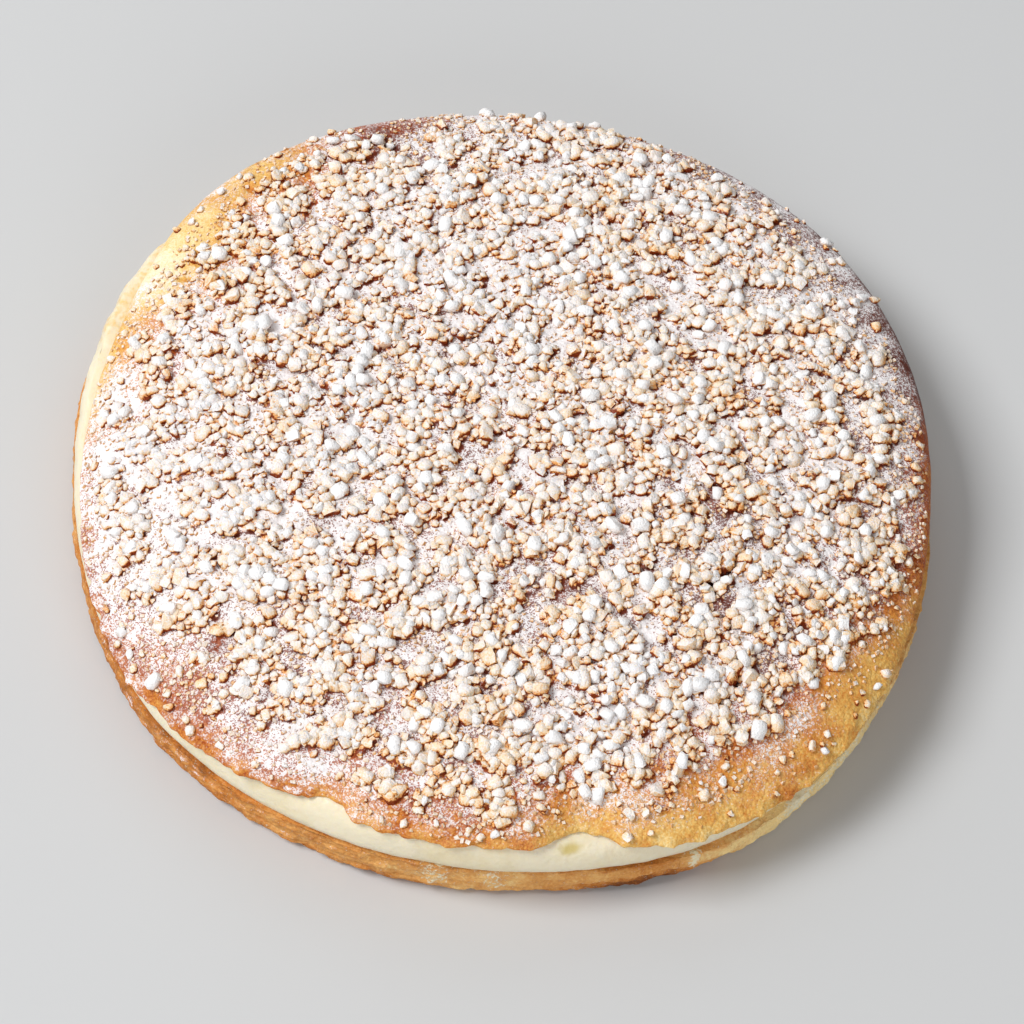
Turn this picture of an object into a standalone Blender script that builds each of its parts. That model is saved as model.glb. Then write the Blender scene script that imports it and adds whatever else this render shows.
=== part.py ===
"""A tarte tropezienne: a round brioche split across, filled with cream and topped with pearl sugar.

Metres, +Z up. The origin is the middle of the flat underside. Angles run counter-clockwise from +X
seen from above, in degrees, and 270 is the side nearest the viewer, where most of the cream shows."""

import math
import random

import bmesh
import bpy
from mathutils import Matrix, Vector, noise

MM = 0.001

# Driving dimensions
CAKE_RADIUS = 121 * MM
BASE_HEIGHT = 14 * MM
CREAM_HEIGHT = 12 * MM
LID_HEIGHT = 19 * MM
GAP = 0.3 * MM
SEGMENTS = 96

# The two halves and the cream lie flat on each other inside this radius. Outside it they follow the cut.
FLAT_RADIUS = 0.72 * CAKE_RADIUS

# Unevenness of each outline: (angle, half-width in degrees, how far it moves out)
BASE_BULGES = (
    (173, 13, 2.8 * MM),
    (230, 20, 2.4 * MM),
    (281, 9, -1.2 * MM),
    (313, 15, 2.2 * MM),
)
CREAM_BULGES = (
    (160, 19, 3.2 * MM),
    (228, 16, 2.2 * MM),
    (256, 8, 0.7 * MM),
    (310, 12, 1.2 * MM),
    (20, 40, -1.0 * MM),
)
LID_BULGES = (
    (123, 16, -0.8 * MM),
    (166, 13, -2.2 * MM),
    (223, 18, 1.8 * MM),
    (254, 3.5, -3.6 * MM),
    (270, 9, 1.2 * MM),
    (288, 4.5, -5.8 * MM),
    (299, 8, 1.3 * MM),
    (320, 16, 1.7 * MM),
)
# The lid's outline is a little square, and stands forward over the cream
LID_RADIUS = CAKE_RADIUS - 0.7 * MM
LID_CORNERS = 4
LID_CORNER_OUT = 2.0 * MM
LID_CORNER_ANGLE = 47
LID_FORWARD = 0.8 * MM

# Where the lid's rim hangs down over the cream, and where the cut through the brioche wanders
RIM_DROOPS = (
    (218, 24, 5.4 * MM),
    (186, 20, 3.0 * MM),
    (311, 18, 2.8 * MM),
    (40, 50, 1.5 * MM),
)
CUT_WANDERS = (
    (205, 14, 0.5 * MM),
    (240, 15, -1.6 * MM),
    (274, 10, 0.8 * MM),
    (309, 15, -2.4 * MM),
    (60, 30, 0.8 * MM),
)

# Section of the lid at the back: the rim is widest a little above the cream, and the dome is a superellipse
RIM_UNDERCUT = 2.2 * MM
RIM_WIDEST = 3.5 * MM
DOME_RADIUS_POWER = 0.83
DOME_HEIGHT_POWER = 0.67
DOME_STEPS = (7, 15, 25, 36, 48, 61, 75)
# Round the front the rim thins to a wedge on the cream: its middle, and how far to each side it is whole
# and gone, in degrees
WEDGE_MIDDLE = 270
WEDGE_REACH = (80, 105)
WEDGE_UNDERCUT = 0.6 * MM
WEDGE_THICKNESS = 0.8 * MM
WEDGE_POWERS = (3.0, 0.75)

# Broad swells of the baked crust: (size across, height)
CRUST_SWELLS = ((46 * MM, 1.1 * MM), (17 * MM, 0.5 * MM))

# Pearl sugar: the largest grains, spread on a sunflower spiral
GRAIN_COUNT = 258
GRAIN_LENGTHS = (3.8 * MM, 6.0 * MM)
GRAIN_WIDTH_SHARE = 0.8
GRAIN_DEPTH_SHARE = 0.75
GRAIN_SUNK = 0.16
GRAIN_WANDER = 2.5 * MM
GRAIN_ROUGHNESS = 0.16
GOLDEN_ANGLE = 180 * (3 - math.sqrt(5))
# Crust left bare inside the rim: (angle, half-width in degrees, how wide)
BARE_RIM = 7 * MM
BARE_STRETCHES = (
    (148, 20, 5 * MM),
    (232, 22, 11 * MM),
    (275, 14, 5 * MM),
    (318, 20, 12 * MM),
)

CRUST_COLOUR = (0.46, 0.20, 0.06, 1)
SIDE_COLOUR = (0.62, 0.32, 0.10, 1)
CREAM_COLOUR = (0.93, 0.83, 0.52, 1)


def bulge_at(angle, bulges):
    """How far smooth bulges, each (angle, half-width, size), reach at this angle."""
    total = 0.0
    for middle, half_width, size in bulges:
        away = (angle - middle + 180) % 360 - 180
        total += size * math.exp(-((away / half_width) ** 2))
    return total


def base_radius(angle):
    return CAKE_RADIUS + bulge_at(angle, BASE_BULGES)


def cream_radius(angle):
    return CAKE_RADIUS + bulge_at(angle, CREAM_BULGES)


def lid_radius(angle):
    corners = LID_CORNER_OUT * math.cos(math.radians(LID_CORNERS * (angle - LID_CORNER_ANGLE)))
    forward = LID_FORWARD * math.cos(math.radians(angle - 270))
    return LID_RADIUS + corners + forward + bulge_at(angle, LID_BULGES)


def outside_flat(radius):
    """0 where the layers lie flat, rising evenly to 1 at the cake's edge."""
    return max(0.0, radius - FLAT_RADIUS) / (CAKE_RADIUS - FLAT_RADIUS)


def cut_height(angle, radius):
    """Height of the cut face on top of the base."""
    return BASE_HEIGHT + outside_flat(radius) * bulge_at(angle, CUT_WANDERS)


def lid_underside(angle, radius):
    """Height of the lid's cut face."""
    droop = outside_flat(radius) * bulge_at(angle, RIM_DROOPS)
    return BASE_HEIGHT + CREAM_HEIGHT + GAP - droop


def crust_swell(x, y):
    """Height of the crust's broad unevenness at a point of the lid."""
    return sum(height * noise.noise(Vector((x, y, 0)) / size) for size, height in CRUST_SWELLS)


def wedge_share(angle):
    """1 along the front, where the lid's rim is a wedge, easing to 0 round the back."""
    away = abs((angle - WEDGE_MIDDLE + 180) % 360 - 180)
    whole, gone = WEDGE_REACH
    past = min(max((away - whole) / (gone - whole), 0.0), 1.0)
    return 1 - past * past * (3 - 2 * past)


def dome_point(angle, step):
    """A point of the lid's crust. The step runs from 0 at the rim to 90 at the crown."""
    rim = lid_radius(angle)
    radius = rim * math.cos(math.radians(step)) ** DOME_RADIUS_POWER
    x = radius * math.cos(math.radians(angle))
    y = radius * math.sin(math.radians(angle))
    swell = crust_swell(x, y)
    rise = math.sin(math.radians(step)) ** DOME_HEIGHT_POWER
    shoulder = RIM_WIDEST + rise * (LID_HEIGHT - RIM_WIDEST + swell)
    inward = (1 - (radius / rim) ** WEDGE_POWERS[0]) ** WEDGE_POWERS[1]
    wedge = WEDGE_THICKNESS + inward * (LID_HEIGHT - WEDGE_THICKNESS + swell)
    share = wedge_share(angle)
    droop_kept = outside_flat(radius)
    level = lid_underside(angle, rim) * droop_kept + (BASE_HEIGHT + CREAM_HEIGHT) * (1 - droop_kept)
    return Vector((x, y, level + wedge * share + shoulder * (1 - share)))


def turned_layer(name, section, bottom, top, colour, roughness):
    """A closed layer of the cake.

    section(angle) gives the (radius, height) pairs of its outside, from the underside's first ring to the
    top's last. bottom and top are the heights at the middle."""
    mesh = bmesh.new()
    rings = []
    for k in range(SEGMENTS):
        angle = 360 * k / SEGMENTS
        across = Vector((math.cos(math.radians(angle)), math.sin(math.radians(angle)), 0))
        rings.append([mesh.verts.new(across * radius + Vector((0, 0, z))) for radius, z in section(angle)])
    under = mesh.verts.new((0, 0, bottom))
    over = mesh.verts.new((0, 0, top))
    for ring, following in zip(rings, rings[1:] + rings[:1]):
        for step in range(len(ring) - 1):
            mesh.faces.new((ring[step], following[step], following[step + 1], ring[step + 1]))
        mesh.faces.new((under, following[0], ring[0]))
        mesh.faces.new((over, ring[-1], following[-1]))
    return finished(name, mesh, colour, roughness)


def finished(name, mesh, colour, roughness):
    """Turns a bmesh into a smooth-shaded object with its own material."""
    bmesh.ops.triangulate(mesh, faces=mesh.faces[:])
    bmesh.ops.recalc_face_normals(mesh, faces=mesh.faces[:])
    data = bpy.data.meshes.new(name)
    mesh.to_mesh(data)
    mesh.free()
    data.shade_smooth()
    data.materials.append(plain_material(name, colour, roughness))
    part = bpy.data.objects.new(name, data)
    bpy.context.scene.collection.objects.link(part)
    return part


def plain_material(name, colour, roughness):
    material = bpy.data.materials.new(name)
    material.use_nodes = True
    shader = material.node_tree.nodes["Principled BSDF"]
    shader.inputs["Base Color"].default_value = colour
    shader.inputs["Roughness"].default_value = roughness
    shader.inputs["Metallic"].default_value = 0.0
    return material


def brioche_base():
    """The lower half: flat underneath, with a browned, slightly barrelled side up to the cut."""

    def section(angle):
        edge = base_radius(angle)
        cut = cut_height(angle, edge)
        return (
            (edge - 4.0 * MM, 0),
            (edge - 1.2 * MM, 0.9 * MM),
            (edge - 0.2 * MM, 3.6 * MM),
            (edge + 0.2 * MM, 0.6 * cut),
            (edge - 0.2 * MM, cut - 0.9 * MM),
            (edge - 1.0 * MM, cut_height(angle, edge - 1.0 * MM)),
            (FLAT_RADIUS, BASE_HEIGHT),
        )

    return turned_layer("brioche_base", section, 0, BASE_HEIGHT, SIDE_COLOUR, 0.6)


def cream_filling():
    """The cream, squeezed out to a rounded edge between the two cut faces."""

    def section(angle):
        edge = cream_radius(angle)
        low = cut_height(angle, edge - 1.0 * MM) + GAP
        high = lid_underside(angle, edge - 3.2 * MM) - GAP
        tall = high - low
        return (
            (FLAT_RADIUS, BASE_HEIGHT + GAP),
            (edge - 1.0 * MM, low),
            (edge - 0.1 * MM, low + 0.16 * tall),
            (edge + 0.3 * MM, low + 0.45 * tall),
            (edge - 0.7 * MM, low + 0.82 * tall),
            (edge - 3.2 * MM, high),
            (FLAT_RADIUS, BASE_HEIGHT + CREAM_HEIGHT),
        )

    top = BASE_HEIGHT + CREAM_HEIGHT
    return turned_layer("cream_filling", section, BASE_HEIGHT + GAP, top, CREAM_COLOUR, 0.4)


def brioche_lid():
    """The upper half: a cut face below, and a low domed crust that is thick at the back and thin in front."""

    def section(angle):
        edge = lid_radius(angle)
        share = wedge_share(angle)
        foot = edge - RIM_UNDERCUT * (1 - share) - WEDGE_UNDERCUT * share
        widest = RIM_WIDEST * (1 - share) + WEDGE_THICKNESS * share
        under = lid_underside(angle, foot)
        rim = [
            (FLAT_RADIUS, BASE_HEIGHT + CREAM_HEIGHT + GAP),
            (foot, under),
            (edge - 0.25 * (edge - foot), under + 0.35 * widest),
        ]
        dome = [dome_point(angle, step) for step in (0, *DOME_STEPS)]
        return rim + [(math.hypot(point.x, point.y), point.z) for point in dome]

    bottom = BASE_HEIGHT + CREAM_HEIGHT + GAP
    crown = dome_point(0, 90).z
    return turned_layer("brioche_lid", section, bottom, crown, CRUST_COLOUR, 0.55)


def crust_normal(angle, step):
    """The direction that the crust faces, from three points of it near this one."""
    here = dome_point(angle, step)
    along = dome_point(angle + 2, step) - here
    inward = here - dome_point(angle, step - 2)
    return along.cross(inward).normalized()


def grain_mesh(draw):
    """One nugget of pearl sugar: a small icosahedron with its corners knocked about."""
    mesh = bmesh.new()
    bmesh.ops.create_icosphere(mesh, subdivisions=1, radius=0.5)
    for corner in mesh.verts:
        corner.co *= 1 + draw.uniform(-GRAIN_ROUGHNESS, GRAIN_ROUGHNESS)
    return mesh


def grain_spots():
    """(angle, step) of each grain, on a sunflower spiral inside the bare rim."""
    spots = []
    for k in range(GRAIN_COUNT):
        angle = (k * GOLDEN_ANGLE) % 360
        rim = lid_radius(angle)
        radius = rim * math.sqrt((k + 0.5) / GRAIN_COUNT)
        bare = BARE_RIM + bulge_at(angle, BARE_STRETCHES)
        if radius < rim - bare:
            step = math.degrees(math.acos((radius / rim) ** (1 / DOME_RADIUS_POWER)))
            spots.append((angle, step))
    return spots


def pearl_sugar():
    """A collection of grains, each half sunk in the crust."""
    draw = random.Random(7)
    grains = bpy.data.collections.new("pearl_sugar")
    bpy.context.scene.collection.children.link(grains)
    for angle, step in grain_spots():
        length = draw.uniform(*GRAIN_LENGTHS)
        size = Matrix.Diagonal((length, length * GRAIN_WIDTH_SHARE, length * GRAIN_DEPTH_SHARE, 1))
        normal = crust_normal(angle, step)
        stand = normal.to_track_quat("Z", "Y").to_matrix().to_4x4()
        turn = Matrix.Rotation(draw.uniform(0, 2 * math.pi), 4, "Z")
        tip = Matrix.Rotation(draw.uniform(-0.5, 0.5), 4, "X")
        wander = Vector((draw.uniform(-1, 1), draw.uniform(-1, 1), 0)) * GRAIN_WANDER
        wander -= normal * wander.dot(normal)
        place = dome_point(angle, step) + wander + normal * length * GRAIN_DEPTH_SHARE * GRAIN_SUNK
        mesh = grain_mesh(draw)
        bmesh.ops.transform(mesh, matrix=Matrix.Translation(place) @ stand @ turn @ tip @ size, verts=mesh.verts)
        data = bpy.data.meshes.new("grain")
        mesh.to_mesh(data)
        mesh.free()
        grains.objects.link(bpy.data.objects.new("grain", data))
    return grains


def fuse(body, pieces):
    """Joins every object of a collection to the body in one Boolean union, and removes them."""
    union = body.modifiers.new("union", "BOOLEAN")
    union.operation = "UNION"
    union.operand_type = "COLLECTION"
    union.collection = pieces
    union.solver = "EXACT"
    graph = bpy.context.evaluated_depsgraph_get()
    joined = bpy.data.meshes.new_from_object(body.evaluated_get(graph))
    body.modifiers.clear()
    body.data = joined
    for piece in list(pieces.objects):
        bpy.data.objects.remove(piece)
    bpy.data.collections.remove(pieces)


def main():
    for leftover in list(bpy.data.objects):
        bpy.data.objects.remove(leftover)
    brioche_base()
    cream_filling()
    fuse(brioche_lid(), pearl_sugar())


main()
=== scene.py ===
import math

import bpy
import numpy as np
from mathutils import Matrix, Vector, kdtree, noise


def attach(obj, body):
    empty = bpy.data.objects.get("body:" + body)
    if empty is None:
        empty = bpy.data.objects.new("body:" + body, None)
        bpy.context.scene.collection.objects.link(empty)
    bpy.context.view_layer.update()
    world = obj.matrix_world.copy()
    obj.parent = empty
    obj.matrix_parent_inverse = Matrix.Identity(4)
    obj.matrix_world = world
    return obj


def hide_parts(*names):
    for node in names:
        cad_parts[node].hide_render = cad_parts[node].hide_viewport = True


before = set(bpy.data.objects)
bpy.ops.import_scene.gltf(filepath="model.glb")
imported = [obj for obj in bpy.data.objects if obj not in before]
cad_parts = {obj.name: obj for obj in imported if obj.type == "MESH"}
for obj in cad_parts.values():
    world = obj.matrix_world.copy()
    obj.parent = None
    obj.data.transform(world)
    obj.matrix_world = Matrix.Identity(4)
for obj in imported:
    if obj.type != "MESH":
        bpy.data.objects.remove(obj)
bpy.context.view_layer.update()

# ----------------------------------------------------------------------
# The lower brioche: the bottom half of a round enriched loaf, cut level with a long knife.
# Its side is thin browned crust, wrinkled and flaky, darkest along the foot where it met the tray,
# with smears of cream and stray sugar along the cut.

MM = 0.001
CAKE_RADIUS = 121 * MM
BASE_HEIGHT = 14 * MM
CREAM_HEIGHT = 12 * MM
LAYER_GAP = 0.3 * MM
FLAT_RADIUS = 0.72 * CAKE_RADIUS
BASE_SEGMENTS = 900
BASE_RINGS = 64
# Unevenness of the outline: (angle, half-width in degrees, how far it moves out)
BASE_BULGES = (
    (173, 13, 2.8 * MM),
    (230, 20, 2.4 * MM),
    (281, 9, -1.2 * MM),
    (313, 15, 2.2 * MM),
)
# Unevenness of the cut: (angle, half-width in degrees, how far it moves up)
CUT_WANDERS = (
    (205, 14, 0.5 * MM),
    (240, 15, -1.6 * MM),
    (274, 10, 0.8 * MM),
    (309, 15, -2.4 * MM),
    (60, 30, 0.8 * MM),
)
# Where the side baked darker or paler, where its foot is scorched, and where cream and sugar stuck to it:
# (angle, half-width in degrees, amount)
# The paler stretch round 322 degrees, on the front right away from the light, is painted light
SIDE_BROWNING = ((226, 30, 0.46), (297, 9, 0.36), (322, 20, -0.62), (120, 60, 0.15))
SIDE_SCORCHED = ((297, 8, 0.75), (262, 4, 0.3))
SIDE_SMEARS = (
    (269.5, 2.4, 0.17),
    (277, 1.6, 0.15),
    (303, 0.7, 0.30),
    (319, 3, 0.28),
    (329, 8, 0.2),
    (150, 25, 0.2),
)
SIDE_SUGAR = ((236, 16, 0.34), (268, 10, 0.12), (330, 14, 0.14))


def bulge_at(angle, bulges):
    """How far smooth bulges, each (angle, half-width, size), reach at these angles."""
    total = 0 * angle
    for middle, half_width, size in bulges:
        away = (angle - middle + 180) % 360 - 180
        total = total + size * np.exp(-((away / half_width) ** 2))
    return total


def zones_at(x, y, zones):
    """What round soft-edged patches, each (x, y, radius, amount), add up to at these places."""
    total = 0 * x
    for middle_x, middle_y, size, amount in zones:
        total = total + amount * np.exp(-((x - middle_x) ** 2 + (y - middle_y) ** 2) / size**2)
    return total


def outside_flat(radius):
    """0 where the layers lie flat, rising evenly to 1 at the cake's edge."""
    return np.maximum(0, radius - FLAT_RADIUS) / (CAKE_RADIUS - FLAT_RADIUS)


def cut_height(angle, radius):
    """The height of the wandering cut that the cream lies on."""
    return BASE_HEIGHT + outside_flat(radius) * bulge_at(angle, CUT_WANDERS)


def rings_from(angle, rows):
    """Rings of points round the cake, from (radius, height) rows, as an array (ring, segment, xyz)."""
    turn = np.radians(angle)
    rings = []
    for radius, height in rows:
        radius = radius + 0 * angle
        rings.append(np.stack([radius * np.cos(turn), radius * np.sin(turn), height + 0 * angle], axis=1))
    return np.array(rings)


def smooth_rings(rings, count):
    """Rings along a smooth curve through the given ones."""
    last = len(rings) - 1
    at = np.linspace(0, last, count)
    low = np.minimum(at.astype(int), last - 1)
    t = (at - low)[:, None, None]
    before, here = rings[np.maximum(low - 1, 0)], rings[low]
    after, beyond = rings[low + 1], rings[np.minimum(low + 2, last)]
    bend = 2 * before - 5 * here + 4 * after - beyond
    twist = 3 * (here - after) + beyond - before
    return here + 0.5 * t * (after - before + t * (bend + t * twist))


def outward(rings):
    """The direction that a grid of rings faces at each point."""
    along = np.roll(rings, -1, axis=1) - np.roll(rings, 1, axis=1)
    up = np.gradient(rings, axis=0)
    normal = np.cross(along, up)
    return normal / np.maximum(np.linalg.norm(normal, axis=2, keepdims=True), 1e-12)


def swell(points, size, layer):
    """Smooth noise of about -1 to 1, with swells about that size across, other ones in each layer."""
    flat = (points.reshape(-1, 3) / size + (17.3 * layer, 5.1 * layer, 9.7 * layer)).tolist()
    return np.array([noise.noise(p) for p in flat]).reshape(points.shape[:-1])


def new_object(name, data):
    """A new object in the scene, at its origin."""
    made = bpy.data.objects.new(name, data)
    bpy.context.scene.collection.objects.link(made)
    return made


def ring_mesh(name, rings, bottom, top):
    """A closed mesh through the rings, with a fan at each end to a point on the axis."""
    count, around = rings.shape[:2]
    points = np.concatenate([rings.reshape(-1, 3), [(0, 0, bottom), (0, 0, top)]])
    number = np.arange(count * around).reshape(count, around)
    following = np.roll(number, -1, axis=1)
    walls = np.stack([number[:-1], following[:-1], following[1:], number[1:]], axis=-1).reshape(-1, 4)
    under, over = count * around, count * around + 1
    floor_fan = [(under, b, a) for a, b in zip(number[0].tolist(), following[0].tolist())]
    crown_fan = [(over, a, b) for a, b in zip(number[-1].tolist(), following[-1].tolist())]
    mesh = bpy.data.meshes.new(name)
    mesh.from_pydata(points.tolist(), [], walls.tolist() + floor_fan + crown_fan)
    mesh.shade_smooth()
    return new_object(name, mesh)


def keep_mask(piece, name, values, bottom=0.0, top=0.0):
    """Stores a number for each point of a ring mesh, for its material to read."""
    numbers = np.concatenate([np.asarray(values, float).ravel(), [bottom, top]])
    layer = piece.data.attributes.new(name, "FLOAT", "POINT")
    layer.data.foreach_set("value", numbers.astype(np.float32))


def ease(value, low, high):
    """Runs smoothly from 0 at low to 1 at high."""
    t = np.clip((value - low) / (high - low), 0, 1)
    return t * t * (3 - 2 * t)


def add(tree, kind, links=None, **settings):
    """Adds a node, with its settings and with a value or another node's socket for each input."""
    made = tree.nodes.new(kind)
    for key, value in settings.items():
        setattr(made, key, value)
    for key, value in (links or {}).items():
        if isinstance(value, bpy.types.NodeSocket):
            tree.links.new(value, made.inputs[key])
        elif value is not None:
            made.inputs[key].default_value = value
    return made


def new_material(name, roughness, shine):
    """A material with its Principled shader, and its tree. shine is how strongly it reflects."""
    material = bpy.data.materials.new(name)
    material.use_nodes = True
    shader = material.node_tree.nodes["Principled BSDF"]
    shader.inputs["Roughness"].default_value = roughness
    shader.inputs["Specular IOR Level"].default_value = shine
    return material, material.node_tree, shader


def ramp(tree, value, stops):
    """A colour ramp through (place, colour) stops."""
    made = add(tree, "ShaderNodeValToRGB", {"Fac": value})
    elements = made.color_ramp.elements
    while len(elements) < len(stops):
        elements.new(0.5)
    for element, (place, colour) in zip(elements, stops):
        element.position = place
        element.color = (*colour, 1)
    return made.outputs["Color"]


def grain_noise(tree, size, detail=2.0, vector=None, output="Fac"):
    """Noise in the piece's own space, with swells of about the given size in metres."""
    where = vector or add(tree, "ShaderNodeTexCoord").outputs["Object"]
    links = {"Vector": where, "Scale": 1 / size, "Detail": detail}
    return add(tree, "ShaderNodeTexNoise", links).outputs[output]


def blend_colour(tree, factor, first, second):
    """Runs from the first colour to the second as the factor rises from 0 to 1."""
    links = {"Factor": factor, 6: first, 7: second}
    return add(tree, "ShaderNodeMix", links, data_type="RGBA").outputs[2]


def sums(tree, operation, first, second=None, third=None, clamp=False):
    """The result of a Math node."""
    links = {0: first, 1: second, 2: third}
    return add(tree, "ShaderNodeMath", links, operation=operation, use_clamp=clamp).outputs[0]


def vectors(tree, operation, first, second=None, third=None, scale=None):
    """The result of a Vector Math node."""
    links = {0: first, 1: second, 2: third, "Scale": scale}
    made = add(tree, "ShaderNodeVectorMath", links, operation=operation)
    return made.outputs["Value" if operation == "DOT_PRODUCT" else "Vector"]


def weighted(tree, value, weight, rest, clamp=False):
    """A value times its weight, added to the rest."""
    return sums(tree, "MULTIPLY_ADD", value, weight, rest, clamp)


def stretch(tree, value, low, high, bottom=0.0, top=1.0):
    """Eases a value that runs from low to high into one that runs from bottom to top."""
    links = {"Value": value, "From Min": low, "From Max": high, "To Min": bottom, "To Max": top}
    return add(tree, "ShaderNodeMapRange", links, interpolation_type="SMOOTHSTEP").outputs[0]


def mask_of(tree, name):
    """What a mesh stores under a name."""
    return add(tree, "ShaderNodeAttribute", attribute_name=name).outputs["Fac"]


DUST_GRAIN = 0.34 * MM
# The icing sugar lies on faces turned to the upper left, which is also where the light comes from, so the
# sides turned away are painted as shade
DUST_AND_LIGHT_FROM = (-0.42, 0.30, 0.86)


def facing_dust_and_light(tree):
    """How squarely a surface faces the falling icing sugar and the light, from -1 to 1."""
    normal = add(tree, "ShaderNodeNewGeometry").outputs["Normal"]
    return vectors(tree, "DOT_PRODUCT", normal, DUST_AND_LIGHT_FROM)


def new_tree(name, family, inputs, outputs):
    """A node tree with named inputs and outputs, and the sockets that its inputs come in by."""
    tree = bpy.data.node_groups.new(name, family + "NodeTree")
    for label, kind, *value in inputs:
        made = tree.interface.new_socket(label, in_out="INPUT", socket_type="NodeSocket" + kind)
        if value:
            made.default_value = value[0]
    for label, kind in outputs:
        tree.interface.new_socket(label, in_out="OUTPUT", socket_type="NodeSocket" + kind)
    return tree, add(tree, "NodeGroupInput").outputs


def icing_dust_group():
    """Icing sugar sifted on: grains the size of fine salt on what faces its fall and the light, with a thin
    veil. Leaving the sides turned away bare is partly painted shade.
    """
    inputs = (("Under", "Color"), ("Veil", "Color"), ("Amount", "Float", 0.5))
    tree, given = new_tree("icing_dust", "Shader", inputs, (("Colour", "Color"), ("Dust", "Float")))
    where = add(tree, "ShaderNodeTexCoord").outputs["Object"]
    clot = grain_noise(tree, 1.4 * MM, 2, where)
    patch = grain_noise(tree, 9 * MM, 2, where)
    lying_and_lit = sums(tree, "MULTIPLY", stretch(tree, facing_dust_and_light(tree), 0.1, 0.85), given["Amount"])
    uneven = weighted(tree, clot, 1.2, weighted(tree, patch, 1.7, -1.45))
    density = weighted(tree, uneven, stretch(tree, lying_and_lit, 0.0, 0.25), lying_and_lit, clamp=True)
    grains = add(tree, "ShaderNodeTexVoronoi", {"Vector": where, "Scale": 1 / DUST_GRAIN}).outputs["Color"]
    chance = add(tree, "ShaderNodeSeparateXYZ", {0: grains}).outputs
    specks = stretch(tree, sums(tree, "SUBTRACT", density, chance["X"]), -0.05, 0.05)
    specks = sums(tree, "MULTIPLY", specks, stretch(tree, density, 0.1, 0.8, 0.38, 1.0))
    veil = sums(tree, "MULTIPLY", density, 0.45)
    veiled = blend_colour(tree, veil, given["Under"], given["Veil"])
    white = ramp(tree, chance["Y"], ((0.0, (0.80, 0.76, 0.77)), (0.8, (0.91, 0.885, 0.89))))
    colour = blend_colour(tree, specks, veiled, white)
    add(tree, "NodeGroupOutput", {"Colour": colour, "Dust": specks})
    return tree


ICING_DUST = icing_dust_group()


def dusted(tree, colour, amount, veil=(0.78, 0.59, 0.56, 1)):
    """A colour with icing sugar over it, and the mask of its specks."""
    links = {"Under": colour, "Veil": veil, "Amount": amount}
    made = add(tree, "ShaderNodeGroup", links, node_tree=ICING_DUST)
    return made.outputs["Colour"], made.outputs["Dust"]


def bump(tree, shader, *heights):
    """Adds relief to a shader: each height is (value, strength in metres)."""
    normal = None
    for value, distance in heights:
        links = {"Height": value, "Distance": distance, "Strength": 1.0, "Normal": normal}
        normal = add(tree, "ShaderNodeBump", links).outputs["Normal"]
    tree.links.new(normal, shader.inputs["Normal"])


def side_crust_material():
    """Golden to brown crust, mottled, with cream smears and sugar dust where the masks say."""
    material, tree, shader = new_material("base_crust", 0.62, 0.15)
    mottle = grain_noise(tree, 5 * MM, 5)
    fine = grain_noise(tree, 0.9 * MM, 4)
    browning = weighted(tree, mottle, 1.1, mask_of(tree, "bake"))
    browning = weighted(tree, fine, 0.9, browning)
    stops = (
        (0.25, (0.93, 0.69, 0.31)),
        (0.50, (0.76, 0.39, 0.12)),
        (0.74, (0.54, 0.19, 0.035)),
        (1.0, (0.20, 0.06, 0.014)),
    )
    crust = ramp(tree, weighted(tree, browning, 0.55, -0.27), stops)
    smear = stretch(tree, weighted(tree, fine, 0.9, mask_of(tree, "smear")), 0.75, 0.95)
    colour = blend_colour(tree, smear, crust, (0.86, 0.78, 0.56, 1))
    colour = dusted(tree, colour, mask_of(tree, "dust"))[0]
    tree.links.new(colour, shader.inputs["Base Color"])
    bump(tree, shader, (mottle, 1.2 * MM), (fine, 0.5 * MM))
    return material


def lower_brioche():
    """The base: a flat underside, a wrinkled upright side and an uneven lip at the cut."""
    angle = np.arange(BASE_SEGMENTS) * 360 / BASE_SEGMENTS
    edge = CAKE_RADIUS + bulge_at(angle, BASE_BULGES)
    cut = cut_height(angle, edge)
    rows = (
        (edge - 14 * MM, 0),
        (edge - 4.0 * MM, 0),
        (edge - 1.2 * MM, 0.9 * MM),
        (edge - 0.2 * MM, 3.6 * MM),
        (edge + 0.2 * MM, 0.6 * cut),
        (edge - 0.2 * MM, cut - 0.9 * MM),
        (edge - 1.0 * MM, cut),
        (edge - 12 * MM, cut),
    )
    rings = smooth_rings(rings_from(angle, rows), BASE_RINGS)
    height = rings[..., 2]
    side = ease(height, 0.2 * MM, 2.5 * MM) * (1 - ease(height, cut - 0.6 * MM, cut + 0.3 * MM))
    flaky = rings * (1, 1, 3.5)
    relief = 0.6 * swell(rings, 8 * MM, 1) + 0.9 * swell(flaky, 5 * MM, 2)
    relief += 0.45 * swell(rings, 1.5 * MM, 3)
    rings = rings + outward(rings) * (relief * side * MM)[..., None]
    lip = ease(height, cut - 3.5 * MM, cut)
    rings[..., 2] += lip * MM * (0.5 * swell(rings, 4 * MM, 4) + 0.6 * swell(rings, 11 * MM, 24))
    rings[..., 2] = np.maximum(rings[..., 2], 0)
    piece = ring_mesh("lower_brioche", rings, 0, BASE_HEIGHT - 0.5 * MM)
    foot = 1 - ease(height, 0.5 * MM, 4 * MM)
    seam = ease(height, cut - 2.2 * MM, cut - 0.8 * MM)
    bake = 0.38 + bulge_at(angle, SIDE_BROWNING)
    scorch = bulge_at(angle, SIDE_SCORCHED)
    burnt = 1 - ease(height, 3 * MM, 8 * MM)
    keep_mask(piece, "bake", bake + 0.22 * foot + 0.16 * seam + scorch * burnt)
    smears = bulge_at(angle, SIDE_SMEARS)
    keep_mask(piece, "smear", 0.20 + smears * ease(height, 1 * MM, 7 * MM))
    lodged = 0.04 + bulge_at(angle, SIDE_SUGAR)
    keep_mask(piece, "dust", lodged * (1 - seam))
    return piece


base = lower_brioche()
base.data.materials.append(side_crust_material())
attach(base, "root")
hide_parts("brioche_base")

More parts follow.
